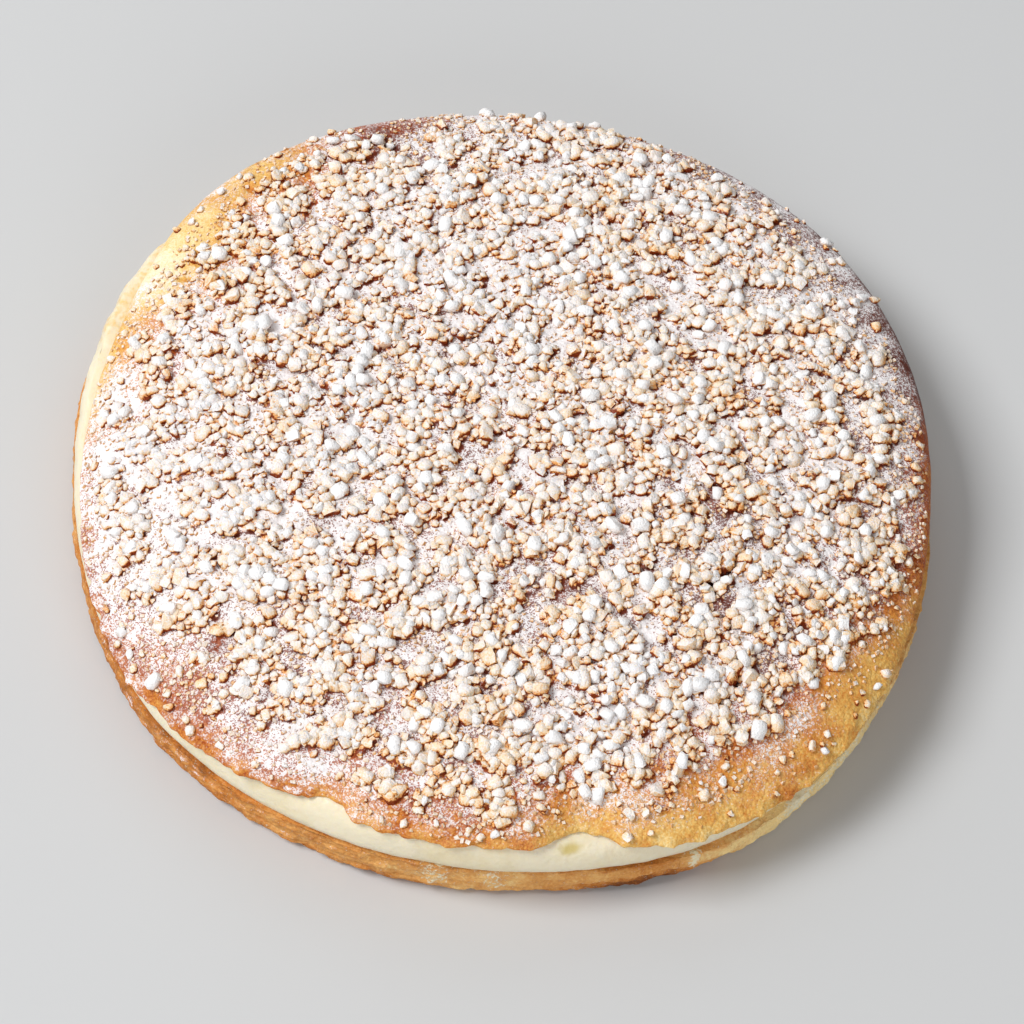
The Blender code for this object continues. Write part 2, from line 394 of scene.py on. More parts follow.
# ----------------------------------------------------------------------
# The cream: pastry cream lightened with butter, piped on the base and pressed out by the lid to a
# smooth, slightly glossy edge. It forms a ledge where the lid is short.

CREAM_SEGMENTS = 900
CREAM_RINGS = 40
CREAM_BULGES = (
    (160, 19, 3.2 * MM),
    (228, 16, 2.2 * MM),
    (256, 8, 0.7 * MM),
    (310, 12, 1.2 * MM),
    (20, 40, -1.0 * MM),
    (345, 24, -1.8 * MM),
)
# Where the lid is short and the cream slopes down from it: (angle, half-width, how much wider it slopes)
CREAM_SLOPES = (
    (254, 8, 2.4 * MM),
    (287, 9, 4.2 * MM),
)
# The ledge at the left, where the cream is rough and crumbs of crust stick in it
CREAM_ROUGH = ((165, 28, 1.0),)
CREAM_CRUMBS = ((158, 26, 0.55),)
# Where the bubble burst, and half its width in degrees with half its height
BUBBLE_ANGLE = 286.2
BUBBLE_HEIGHT = 24.0 * MM
BUBBLE_SIZE = (1.7, 1.6 * MM)
BUBBLE_DEPTH = 0.35 * MM
# Where the lid's underside sags at the rim: (angle, half-width in degrees, how far)
RIM_DROOPS = (
    (218, 24, 5.4 * MM),
    (186, 20, 3.0 * MM),
    (311, 18, 2.8 * MM),
    (40, 50, 1.5 * MM),
)


def lid_underside(angle, radius):
    """The height of the lid's underside, which is the top of the cream."""
    droop = outside_flat(radius) * bulge_at(angle, RIM_DROOPS)
    return BASE_HEIGHT + CREAM_HEIGHT + LAYER_GAP - droop


def cream_material():
    """Pale yellow cream with a soft gloss, yolk yellow in the bubble and tan where crumbs stick."""
    material, tree, shader = new_material("cream", 0.38, 0.4)
    drift = grain_noise(tree, 14 * MM, 3)
    fine = grain_noise(tree, 1.6 * MM, 3)
    shade = weighted(tree, fine, 0.35, drift)
    colour = ramp(tree, shade, ((0.40, (0.77, 0.66, 0.42)), (0.70, (0.82, 0.74, 0.55))))
    yolk = stretch(tree, mask_of(tree, "yolk"), 0.2, 0.9)
    colour = blend_colour(tree, yolk, colour, (0.63, 0.50, 0.18, 1))
    torn = stretch(tree, weighted(tree, fine, 1.0, mask_of(tree, "crumb")), 0.9, 1.3)
    colour = blend_colour(tree, torn, colour, (0.80, 0.58, 0.26, 1))
    tree.links.new(colour, shader.inputs["Base Color"])
    shader.inputs["Subsurface Weight"].default_value = 0.25
    shader.inputs["Subsurface Radius"].default_value = (1.0, 0.75, 0.4)
    shader.inputs["Subsurface Scale"].default_value = 2 * MM
    bump(tree, shader, (fine, 0.25 * MM))
    return material


def cream_layer():
    """The cream: a soft rounded edge between the two cuts, with a bubble burst in it."""
    angle = np.arange(CREAM_SEGMENTS) * 360 / CREAM_SEGMENTS
    edge = CAKE_RADIUS + bulge_at(angle, CREAM_BULGES)
    low = cut_height(angle, edge - 1.0 * MM) - 0.4 * MM
    high = lid_underside(angle, edge - 3.2 * MM) + 0.2 * MM
    tall = high - low
    slope = bulge_at(angle, CREAM_SLOPES)
    rows = (
        (edge - 12 * MM, low),
        (edge - 3.0 * MM, low),
        (edge - 1.4 * MM, low + 0.02 * tall),
        (edge - 0.4 * MM, low + 0.14 * tall),
        (edge + 0.1 * MM, low + 0.38 * tall),
        (edge - 0.6 * MM - 0.25 * slope, low + 0.72 * tall),
        (edge - 1.8 * MM - 0.65 * slope, low + 0.93 * tall),
        (edge - 3.8 * MM - slope, high),
        (edge - 15 * MM, high),
    )
    rings = smooth_rings(rings_from(angle, rows), CREAM_RINGS)
    relief = 0.45 * swell(rings, 13 * MM, 5) + 0.16 * swell(rings, 4 * MM, 6)
    relief += 0.05 * swell(rings, 1.2 * MM, 7)
    rough = 0.7 * swell(rings, 7 * MM, 20) + 0.3 * swell(rings, 2.2 * MM, 21)
    relief += bulge_at(angle, CREAM_ROUGH) * rough
    outer = ease(np.linalg.norm(rings[..., :2], axis=2), edge - 9 * MM, edge - 2 * MM)
    rings = rings + outward(rings) * (relief * outer * MM)[..., None]
    across = (angle - BUBBLE_ANGLE) / BUBBLE_SIZE[0]
    upward = (rings[..., 2] - BUBBLE_HEIGHT) / BUBBLE_SIZE[1]
    bubble = np.exp(-(across**2 + upward**2) * (1 + 0.5 * swell(rings, 1.5 * MM, 23))) * outer
    rings = rings - outward(rings) * (BUBBLE_DEPTH * bubble)[..., None]
    piece = ring_mesh("cream", rings, BASE_HEIGHT, BASE_HEIGHT + CREAM_HEIGHT)
    keep_mask(piece, "yolk", bubble)
    keep_mask(piece, "crumb", bulge_at(angle, CREAM_CRUMBS) * (1 + 0.6 * swell(rings, 5 * MM, 22)))
    return piece


cream = cream_layer()
cream.data.materials.append(cream_material())
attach(cream, "root")
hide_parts("cream_filling")

# ----------------------------------------------------------------------
# The lid: the domed top half of the loaf. Its glazed crust bakes golden at the rim and red-brown on
# top, cracks into crumbly ridges under the sugar, and thins at the front to a ragged edge on the cream.

LID_HEIGHT = 19 * MM
LID_SEGMENTS = 900
DOME_RINGS = 160
RIM_RINGS = 8
LID_BULGES = (
    (123, 16, -0.8 * MM),
    (166, 13, -2.2 * MM),
    (223, 18, 1.8 * MM),
    (254, 3.5, -3.6 * MM),
    (270, 9, 1.2 * MM),
    (288, 4.5, -5.8 * MM),
    (299, 8, 1.3 * MM),
    (320, 16, 1.7 * MM),
)
LID_RADIUS = CAKE_RADIUS - 0.7 * MM
LID_CORNERS = 4
LID_CORNER_OUT = 2.0 * MM
LID_CORNER_ANGLE = 47
# How far the lid slid to the front
LID_FORWARD = 0.8 * MM
RIM_UNDERCUT = 2.2 * MM
RIM_WIDEST = 3.5 * MM
# Round the front the rim thins to a wedge
WEDGE_MIDDLE = 270
WEDGE_REACH = (80, 105)
WEDGE_UNDERCUT = 0.6 * MM
WEDGE_THICKNESS = 0.8 * MM
# The powers that curve the crust's profile, at the front and then round the back
WEDGE_POWERS = (3.0, 0.75)
DOME_RADIUS_POWER = 0.83
DOME_HEIGHT_POWER = 0.67
# Broad swells of the crust: (how wide, how high)
CRUST_SWELLS = ((46 * MM, 1.1 * MM), (17 * MM, 0.5 * MM))
# The sugar lies in clumps drawn out into rows, with gaps where a noise is below CLUMP_GAPS
ROW_DIRECTION = math.radians(32)
ROW_STRETCH = 0.8
CLUMP_SIZE = 7 * MM
CLUMP_GAPS = 0.465
FUSED_HEIGHT = 0.9 * MM
FUSED_LUMP = 1.8 * MM
# How far off, and on which side, a clump or a nib leaves the crust bare of icing sugar and painted darker:
# partly sugar that missed it, partly painted shadow on the side away from the light
TOWARDS_LIGHT_AND_DUST = (-0.8 * MM, 0.6 * MM, 0)
CRACK_DIRECTION = math.radians(-22)
CRACK_STRETCH = 0.55
CRACK_SPACING = 13 * MM
# Distances in from the rim over which the crust's colour changes from the rim's to the middle's
RIM_BAND = (10 * MM, 44 * MM)
EDGE_BAND = (0.6 * MM, 5 * MM)
# Crust left bare inside the rim: (angle, half-width in degrees, how wide)
BARE_RIM = 1.5 * MM
BARE_STRETCHES = (
    (42, 30, 9 * MM),
    (92, 20, -4 * MM),
    (118, 8, 5 * MM),
    (151, 15, 8 * MM),
    (228, 14, 6 * MM),
    (250, 12, 3 * MM),
    (282, 6, 2 * MM),
    (293, 9, 4 * MM),
    (322, 17, 12 * MM),
)


def in_mm(lengths, rows):
    """Rows in metres, from rows whose first numbers, so many of them, are in millimetres."""
    return [[value * MM for value in row[:lengths]] + list(row[lengths:]) for row in rows]


# Patches of the lid where more icing sugar fell, or less: (x, y, radius, amount)
DUSTIER = in_mm(3, (
    (-104, -34, 26, 0.10),
    (-46, -10, 14, 0.22),
    (-11, 44, 30, 0.18),
    (41, -75, 15, 0.28),
    (92, 48, 30, -0.06),
    (59, 90, 26, -0.06),
    (112, 48, 13, 0.24),
    (93, 78, 13, 0.30),
    (66, 102, 13, 0.30),
    (-97, -56, 16, 0.05),
    (-50, -108, 12, 0.10),
    (-30, -110, 11, 0.32),
    (48, 28, 16, -0.24),
    (30, 72, 14, -0.22),
    (50, -42, 17, -0.22),
    (-17, -14, 13, -0.16),
    (17, -50, 16, -0.20),
    (-62, 4, 12, -0.12),
    (-74, -92, 20, -0.18),
    (64, -14, 9, -0.5),
    (0, -115, 24, -0.20),
    (50, -110, 14, -0.20),
    (72, -97, 24, -0.36),
    (108, -52, 24, -0.55),
    (116, -10, 14, -0.25),
    (-98, 46, 18, -0.80),
    (-115, 12, 16, -0.60),
    (-82, 75, 16, -0.65),
    (-56, 96, 14, -0.50),
))
# Patches near the rim that baked paler, or darker where the amount is below zero
GOLDEN = in_mm(3, (
    (68, -99, 34, 0.32),
    (112, -50, 32, 0.36),
    (-76, -90, 30, 0.05),
    (20, -118, 30, 0.20),
    (-26, -114, 16, 0.22),
    (-66, 70, 20, 0.22),
    (-93, 51, 28, 0.46),
    (-110, 34, 18, 0.50),
    (-118, 0, 18, 0.50),
    # The dark patch at the upper right is partly crust that baked darker, partly painted shade on the side
    # away from the light
    (80, 80, 42, -0.75),
    (-84, 80, 14, 0.20),
    (-56, 92, 10, -0.22),
))
# Where white nibs landed close together
PEARL_CLUSTERS = in_mm(3, (
    (13, -81, 14, 0.8),
    (39, -74, 12, 0.9),
    (83, -38, 10, 1.0),
    (-68, 15, 8, 1.0),
    (50, 40, 7, 0.8),
    (21, 92, 8, 0.8),
    (6, 58, 8, 0.7),
))
# Splits and pits in the crust: both ends (x, y), half-width, depth
SPLITS = in_mm(6, (
    (68, -24, 59, -39, 1.3, 2.2),
    (59, -37, 59.5, -38.5, 2.0, 2.8),
    (69, -63, 69.5, -64.5, 1.5, 1.8),
    (-51, 92, -49, 92, 2.2, 1.8),
    (-98.3, 43.6, -98.3, 41.4, 1.5, 1.2),
    (-101, 33.3, -98, 33.6, 1.1, 1.0),
    (-88.4, 70, -86.6, 69, 1.5, 1.2),
    (-88.6, 50.5, -86.4, 56, 1.2, 1.0),
))


def lid_radius(angle):
    """The lid's outline, a circle with four faint corners and its own bulges."""
    corners = LID_CORNER_OUT * np.cos(np.radians(LID_CORNERS * (angle - LID_CORNER_ANGLE)))
    forward = LID_FORWARD * np.cos(np.radians(angle - 270))
    return LID_RADIUS + corners + forward + bulge_at(angle, LID_BULGES)


def split_at(x, y):
    """0 on whole crust, and how deep the splits and pits go where they are, as a share and a depth."""
    share, depth = 0 * x, 0 * x
    for x0, y0, x1, y1, half_width, deepest in SPLITS:
        run, rise = x1 - x0, y1 - y0
        along = np.clip(((x - x0) * run + (y - y0) * rise) / (run**2 + rise**2), 0, 1)
        away = np.hypot(x - x0 - along * run, y - y0 - along * rise)
        inside = 1 - ease(away, 0.2 * half_width, 1.2 * half_width)
        share, depth = np.maximum(share, inside), np.maximum(depth, inside * deepest)
    return share, depth


def wedge_share(angle):
    """1 along the front, where the rim thins to a wedge, easing to 0 round the back."""
    away = np.abs((angle - WEDGE_MIDDLE + 180) % 360 - 180)
    return 1 - ease(away, *WEDGE_REACH)


def dome_rings(angle, steps):
    """Rings of the crust. A step runs from 0 at the widest part of the rim to 90 at the crown."""
    rim = lid_radius(angle)[None, :]
    turn = np.radians(angle)[None, :]
    step = np.radians(steps)[:, None]
    radius = rim * np.cos(step) ** DOME_RADIUS_POWER
    x, y = radius * np.cos(turn), radius * np.sin(turn)
    flat = np.stack([x, y, 0 * x], axis=2)
    swells = sum(height * np.array([noise.noise(p) for p in (flat.reshape(-1, 3) / size).tolist()])
                 for size, height in CRUST_SWELLS).reshape(x.shape)
    shoulder = RIM_WIDEST + np.sin(step) ** DOME_HEIGHT_POWER * (LID_HEIGHT - RIM_WIDEST + swells)
    inward = (1 - (radius / rim) ** WEDGE_POWERS[0]) ** WEDGE_POWERS[1]
    wedge = WEDGE_THICKNESS + inward * (LID_HEIGHT - WEDGE_THICKNESS + swells)
    share = wedge_share(angle)[None, :]
    kept = outside_flat(radius)
    level = lid_underside(angle, rim) * kept + (BASE_HEIGHT + CREAM_HEIGHT) * (1 - kept)
    return np.stack([x, y, level + wedge * share + shoulder * (1 - share)], axis=2)


def even_steps(count):
    """Steps that put the crust's rings the same distance apart."""
    fine = np.linspace(0, 89.7, 2000)
    radius = LID_RADIUS * np.cos(np.radians(fine)) ** DOME_RADIUS_POWER
    height = (LID_HEIGHT - RIM_WIDEST) * np.sin(np.radians(fine)) ** DOME_HEIGHT_POWER
    length = np.concatenate([[0], np.cumsum(np.hypot(np.diff(radius), np.diff(height)))])
    return np.interp(np.linspace(0, length[-1], count), length, fine)


def clump_field(tree, where, size, gaps, wanted):
    """1 in the clumps that the sugar lies in and 0 between them, fewer where less is wanted.

    The clumps are drawn out into rows across the cake."""
    links = {"Vector": where, "Angle": -ROW_DIRECTION}
    turned = add(tree, "ShaderNodeVectorRotate", links, rotation_type="Z_AXIS").outputs[0]
    rows = vectors(tree, "MULTIPLY", turned, (ROW_STRETCH, 1, 0))
    scale = sums(tree, "DIVIDE", 1.0, size)
    drift = add(tree, "ShaderNodeTexNoise", {"Vector": rows, "Scale": scale, "Detail": 2.0}).outputs["Fac"]
    bar = sums(tree, "ADD", gaps, weighted(tree, wanted, -0.3, 0.3))
    return stretch(tree, sums(tree, "SUBTRACT", drift, bar), -0.03, 0.03)


def sugar_skin_group():
    """Crumbly baked sugar: caramel low down and in its crevices, paler up each crumb to the crown. The dark
    foot is partly caramel, partly painted shade, and the sides turned from the light are painted darker as
    shade.
    """
    tones = [(name, "Color") for name in ("Foot", "Side", "Body", "Crown")]
    inputs = [("Rise", "Float"), ("Crumb Size", "Float")] + tones
    outputs = (("Colour", "Color"), ("Crumb", "Float"), ("Grit", "Float"))
    tree, given = new_tree("sugar_skin", "Shader", inputs, outputs)
    where = add(tree, "ShaderNodeTexCoord").outputs["Object"]
    wobble = grain_noise(tree, 1.5 * MM, 2, where, "Color")
    pushed = vectors(tree, "MULTIPLY_ADD", wobble, (0.9 * MM,) * 3, where)
    links = {"Vector": pushed, "Scale": sums(tree, "DIVIDE", 1.0, given["Crumb Size"])}
    crumb = sums(tree, "SUBTRACT", 1.0, add(tree, "ShaderNodeTexVoronoi", links).outputs["Distance"])
    grit = grain_noise(tree, 0.6 * MM, 2, where)
    drift = grain_noise(tree, 5 * MM, 2, where)
    # Painted shade: sides turned away from the light are coloured towards the caramel foot
    shaded_side = sums(tree, "SUBTRACT", 1.0, stretch(tree, facing_dust_and_light(tree), -0.2, 0.6))
    level = weighted(tree, crumb, 0.25, given["Rise"])
    level = weighted(tree, grit, 1.5, level)
    level = weighted(tree, drift, 1.6, level)
    level = weighted(tree, shaded_side, -0.6, level)
    level = weighted(tree, level, 0.60, -0.99)
    colour = given["Foot"]
    for low, high, name in ((0.12, 0.32, "Side"), (0.32, 0.56, "Body"), (0.56, 0.90, "Crown")):
        colour = blend_colour(tree, stretch(tree, level, low, high), colour, given[name])
    add(tree, "NodeGroupOutput", {"Colour": colour, "Crumb": crumb, "Grit": grit})
    return tree


SUGAR_SKIN = sugar_skin_group()
TOASTED = {
    "Foot": (0.24, 0.036, 0.005, 1),
    "Side": (0.83, 0.39, 0.12, 1),
    "Body": (0.94, 0.71, 0.48, 1),
    "Crown": (0.94, 0.86, 0.81, 1),
}


def sugar_skin(tree, rise, crumb_size, tones):
    """The outputs of a sugar skin of these tones."""
    links = {"Rise": rise, "Crumb Size": crumb_size, **tones}
    return add(tree, "ShaderNodeGroup", links, node_tree=SUGAR_SKIN).outputs


def crust_material():
    """Egg-glazed crust, pale gold to red-brown, with melted sugar in clumps and icing sugar over both.

    A crescent of crust behind each clump, on the side away from the light, is painted darker and left bare
    of icing sugar: partly sugar that missed it, partly painted shadow."""
    material, tree, shader = new_material("lid_crust", 0.5, 0.15)
    where = add(tree, "ShaderNodeTexCoord").outputs["Object"]
    mottle = grain_noise(tree, 6 * MM, 3, where)
    fine = grain_noise(tree, 1.1 * MM, 3, where)
    grit = grain_noise(tree, 0.5 * MM, 1, where)
    clump = stretch(tree, weighted(tree, fine, 0.8, mask_of(tree, "clump")), 0.75, 1.05)
    sheltered = mask_of(tree, "sheltered")
    browning = weighted(tree, mottle, 0.4, mask_of(tree, "bake"))
    browning = weighted(tree, fine, 0.3, browning)
    # Painted shadow: the crust beside a clump, away from the light, is browned darker
    browning = weighted(tree, sheltered, 0.2, browning)
    browning = weighted(tree, grit, 0.45, browning)
    stops = (
        (0.0, (0.93, 0.82, 0.56)),
        (0.12, (0.90, 0.70, 0.34)),
        (0.34, (0.78, 0.46, 0.12)),
        (0.56, (0.64, 0.24, 0.045)),
        (0.78, (0.36, 0.070, 0.012)),
        (1.0, (0.12, 0.020, 0.007)),
    )
    crust = ramp(tree, sums(tree, "SUBTRACT", browning, 0.575), stops)
    lift = sums(tree, "DIVIDE", mask_of(tree, "lift"), FUSED_HEIGHT)
    sugar = sugar_skin(tree, weighted(tree, lift, 1.1, -0.15), 1.2 * MM, TOASTED)
    colour = blend_colour(tree, clump, crust, sugar["Colour"])
    amount = weighted(tree, sheltered, -0.35, mask_of(tree, "dust"))
    colour, dust = dusted(tree, colour, amount)
    tree.links.new(colour, shader.inputs["Base Color"])
    tree.links.new(weighted(tree, dust, 0.3, 0.5), shader.inputs["Roughness"])
    bump(tree, shader, (mottle, 0.25 * MM), (fine, 0.2 * MM), (sugar["Crumb"], 0.25 * MM))
    return material


def keep_value(tree, geometry, name, value, kind="FLOAT"):
    """The geometry with a value of each of its points stored under a name."""
    links = {"Geometry": geometry, "Name": name, "Value": value}
    settings = {"data_type": kind, "domain": "POINT"}
    return add(tree, "GeometryNodeStoreNamedAttribute", links, **settings).outputs[0]


def fused_sugar_tree():
    """Geometry nodes that raise a crust in lumpy clumps, where sugar melted together on it."""
    tree, given = new_tree("fused_sugar", "Geometry", (
        ("Geometry", "Geometry"),
        ("Clump Size", "Float", CLUMP_SIZE),
        ("Gaps", "Float", CLUMP_GAPS),
        ("Height", "Float", FUSED_HEIGHT),
        ("Lump Size", "Float", FUSED_LUMP),
    ), (("Geometry", "Geometry"),))
    where = add(tree, "GeometryNodeInputPosition").outputs[0]
    wanted = add(tree, "GeometryNodeInputNamedAttribute", {"Name": "sugar"}, data_type="FLOAT").outputs[0]
    clump = clump_field(tree, where, given["Clump Size"], given["Gaps"], wanted)
    # The crust just past each clump, away from the light, is marked for painted shadow and for less icing
    # sugar
    towards_light = vectors(tree, "ADD", where, TOWARDS_LIGHT_AND_DUST)
    screen = clump_field(tree, towards_light, given["Clump Size"], given["Gaps"], wanted)
    sheltered = sums(tree, "SUBTRACT", screen, clump, clamp=True)
    links = {"Vector": where, "Scale": sums(tree, "DIVIDE", 1.0, given["Lump Size"]), "Detail": 1.0}
    lump = stretch(tree, add(tree, "ShaderNodeTexNoise", links).outputs["Fac"], 0.3, 0.7, 0.25, 1.0)
    lift = sums(tree, "MULTIPLY", sums(tree, "MULTIPLY", clump, lump), given["Height"])
    told = given["Geometry"]
    for name, value in (("lift", lift), ("clump", clump), ("sheltered", sheltered)):
        told = keep_value(tree, told, name, value)
    offset = vectors(tree, "SCALE", add(tree, "GeometryNodeInputNormal").outputs[0], scale=lift)
    raised = add(tree, "GeometryNodeSetPosition", {"Geometry": told, "Offset": offset})
    add(tree, "NodeGroupOutput", {"Geometry": raised.outputs[0]})
    return tree


def mesh_through(piece, tree, values=()):
    """The plain mesh that geometry nodes make of a piece, with values for their inputs by name."""
    modifier = piece.modifiers.new("nodes", "NODES")
    modifier.node_group = tree
    for item in tree.interface.items_tree:
        if item.item_type == "SOCKET" and item.in_out == "INPUT" and item.name in values:
            modifier[item.identifier] = values[item.name]
    graph = bpy.context.evaluated_depsgraph_get()
    mesh = bpy.data.meshes.new_from_object(piece.evaluated_get(graph))
    piece.modifiers.clear()
    return mesh


def upper_brioche():
    """The lid's crust, with its ragged front edge, cracks and splits, and the masks for all on it."""
    angle = np.arange(LID_SEGMENTS) * 360 / LID_SEGMENTS
    dome = dome_rings(angle, even_steps(DOME_RINGS))
    edge = lid_radius(angle)
    front = wedge_share(angle)
    foot = edge - RIM_UNDERCUT * (1 - front) - WEDGE_UNDERCUT * front
    under = lid_underside(angle, foot)
    start = rings_from(angle, ((edge - 12 * MM, lid_underside(angle, edge - 12 * MM)), (foot, under)))
    knee = rings_from(angle, ((edge - 0.2 * MM + 0.4 * MM * front, under + 0.9 * MM - 0.7 * MM * front),))[0]
    t = np.linspace(0, 1, RIM_RINGS, endpoint=False)[:, None, None]
    rim = start[1] * (1 - t) ** 2 + knee * 2 * t * (1 - t) + dome[0] * t**2
    rings = np.concatenate([start[:1], rim, dome])
    x, y = rings[..., 0], rings[..., 1]
    radius = np.hypot(x, y)
    inside = edge[None, :] - radius
    on_top = np.concatenate([np.zeros(1 + RIM_RINGS), np.ones(DOME_RINGS)])[:, None]
    ragged = BARE_RIM + bulge_at(angle, BARE_STRETCHES)[None, :] * (1 + 0.55 * swell(rings, 11 * MM, 8))
    sugared = on_top * ease(inside, ragged - 4 * MM, ragged + 12 * MM)
    stretched = rings @ np.array(Matrix.Rotation(CRACK_DIRECTION, 3, "Z")) * (CRACK_STRETCH, 1, 1)
    crack = 1 - np.abs(swell(stretched, CRACK_SPACING, 10)) * 6
    crack = np.clip(crack, 0, 1) ** 2
    crumb = swell(rings, 3.2 * MM, 11)
    split, split_depth = split_at(x, y)
    relief = on_top * 0.22 * swell(rings, 6 * MM, 12) + sugared * (0.45 * crumb - 0.9 * crack)
    near_rim = 1 - ease(inside, *RIM_BAND)
    bake = 0.74 - zones_at(x, y, GOLDEN) * near_rim + 0.12 * swell(rings, 30 * MM, 15) + 0.22 * sugared
    # Towards the right, away from the light, the crust is painted darker: painted shade
    bake += 0.12 * ease(x, -20 * MM, 100 * MM) * (1 - near_rim) + 0.25 * split
    edge_band = front * (1 - ease(inside, *EDGE_BAND))
    bake += edge_band * (-0.05 + 0.16 * swell(rings, 5 * MM, 17))
    # Less icing sugar towards the right, partly painted shade on the side away from the light, and less
    # towards the front
    dust = 0.56 + 0.12 * ease(-x, 0, 100 * MM) - 0.10 * ease(-y, 0, 90 * MM)
    dust += 0.12 * swell(rings, 26 * MM, 16)
    dust += zones_at(x, y, DUSTIER) + 0.32 * sugared - 0.15 * edge_band - 0.6 * split
    outer = ease(radius, edge - 5 * MM, edge - 1.5 * MM)
    rag = swell(rings, 4.5 * MM, 18)
    tongues = 2.4 * (np.maximum(0, rag - 0.15) - np.maximum(0, -rag - 0.2))
    tears = 0.9 * swell(rings, 8 * MM, 13) + 0.5 * swell(rings, 2.0 * MM, 14) + tongues
    torn = outer * ease(-y, 10 * MM, 70 * MM) * tears
    rings = rings + outward(rings) * (relief * MM - split_depth * on_top)[..., None]
    rings[..., :2] *= (1 + torn * MM / np.maximum(radius, MM))[..., None]
    piece = ring_mesh("lid_crust", rings, BASE_HEIGHT + CREAM_HEIGHT, rings[-1, :, 2].mean())
    keep_mask(piece, "bake", bake, 0.6, 0.8)
    keep_mask(piece, "dust", dust * on_top, 0, 0.6)
    keep_mask(piece, "sugar", sugared * (1 - 0.5 * crack) * (1 - split), 0, 1)
    margin = on_top * ease(inside, 1.5 * MM, 4 * MM) * (1 - split)
    clusters = np.maximum(sugared * (0.5 + zones_at(x, y, PEARL_CLUSTERS)), 0.15 * margin)
    keep_mask(piece, "pearls", clusters * (1 - split), 0, 1)
    keep_mask(piece, "strays", margin * (1 - sugared), 0, 0)
    crumbs = on_top * (0.012 * front + 0.988 * sugared) * (1 - split) * ease(inside, 0, 2 * MM)
    keep_mask(piece, "crumbs", crumbs, 0, 1)
    return piece


lid = upper_brioche()
lid.data.materials.append(crust_material())
lid.data = mesh_through(lid, fused_sugar_tree())
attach(lid, "root")
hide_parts("brioche_lid")

# ----------------------------------------------------------------------
# Toasted pearl sugar: compressed nibs of 2 to 4 mm baked on with the lid, packed side by side and half
# melted in at the foot, caramel there and beige above. Small ones lie singly on the bare margin.

# The corners of one nib, a block with three of them along each side
NIB_CORNERS = 26
# More spots to a square metre than their spacing leaves room for
MOST_SPOTS = 1500000.0
FULL_TURN = 6.283
# How near the middle of a nib's shelter the crust gets no icing sugar and the most painted shadow, and how
# far off it gets all the sugar and no painted shadow
SHADE_AND_SHELTER_REACH = (0.9 * MM, 1.6 * MM)


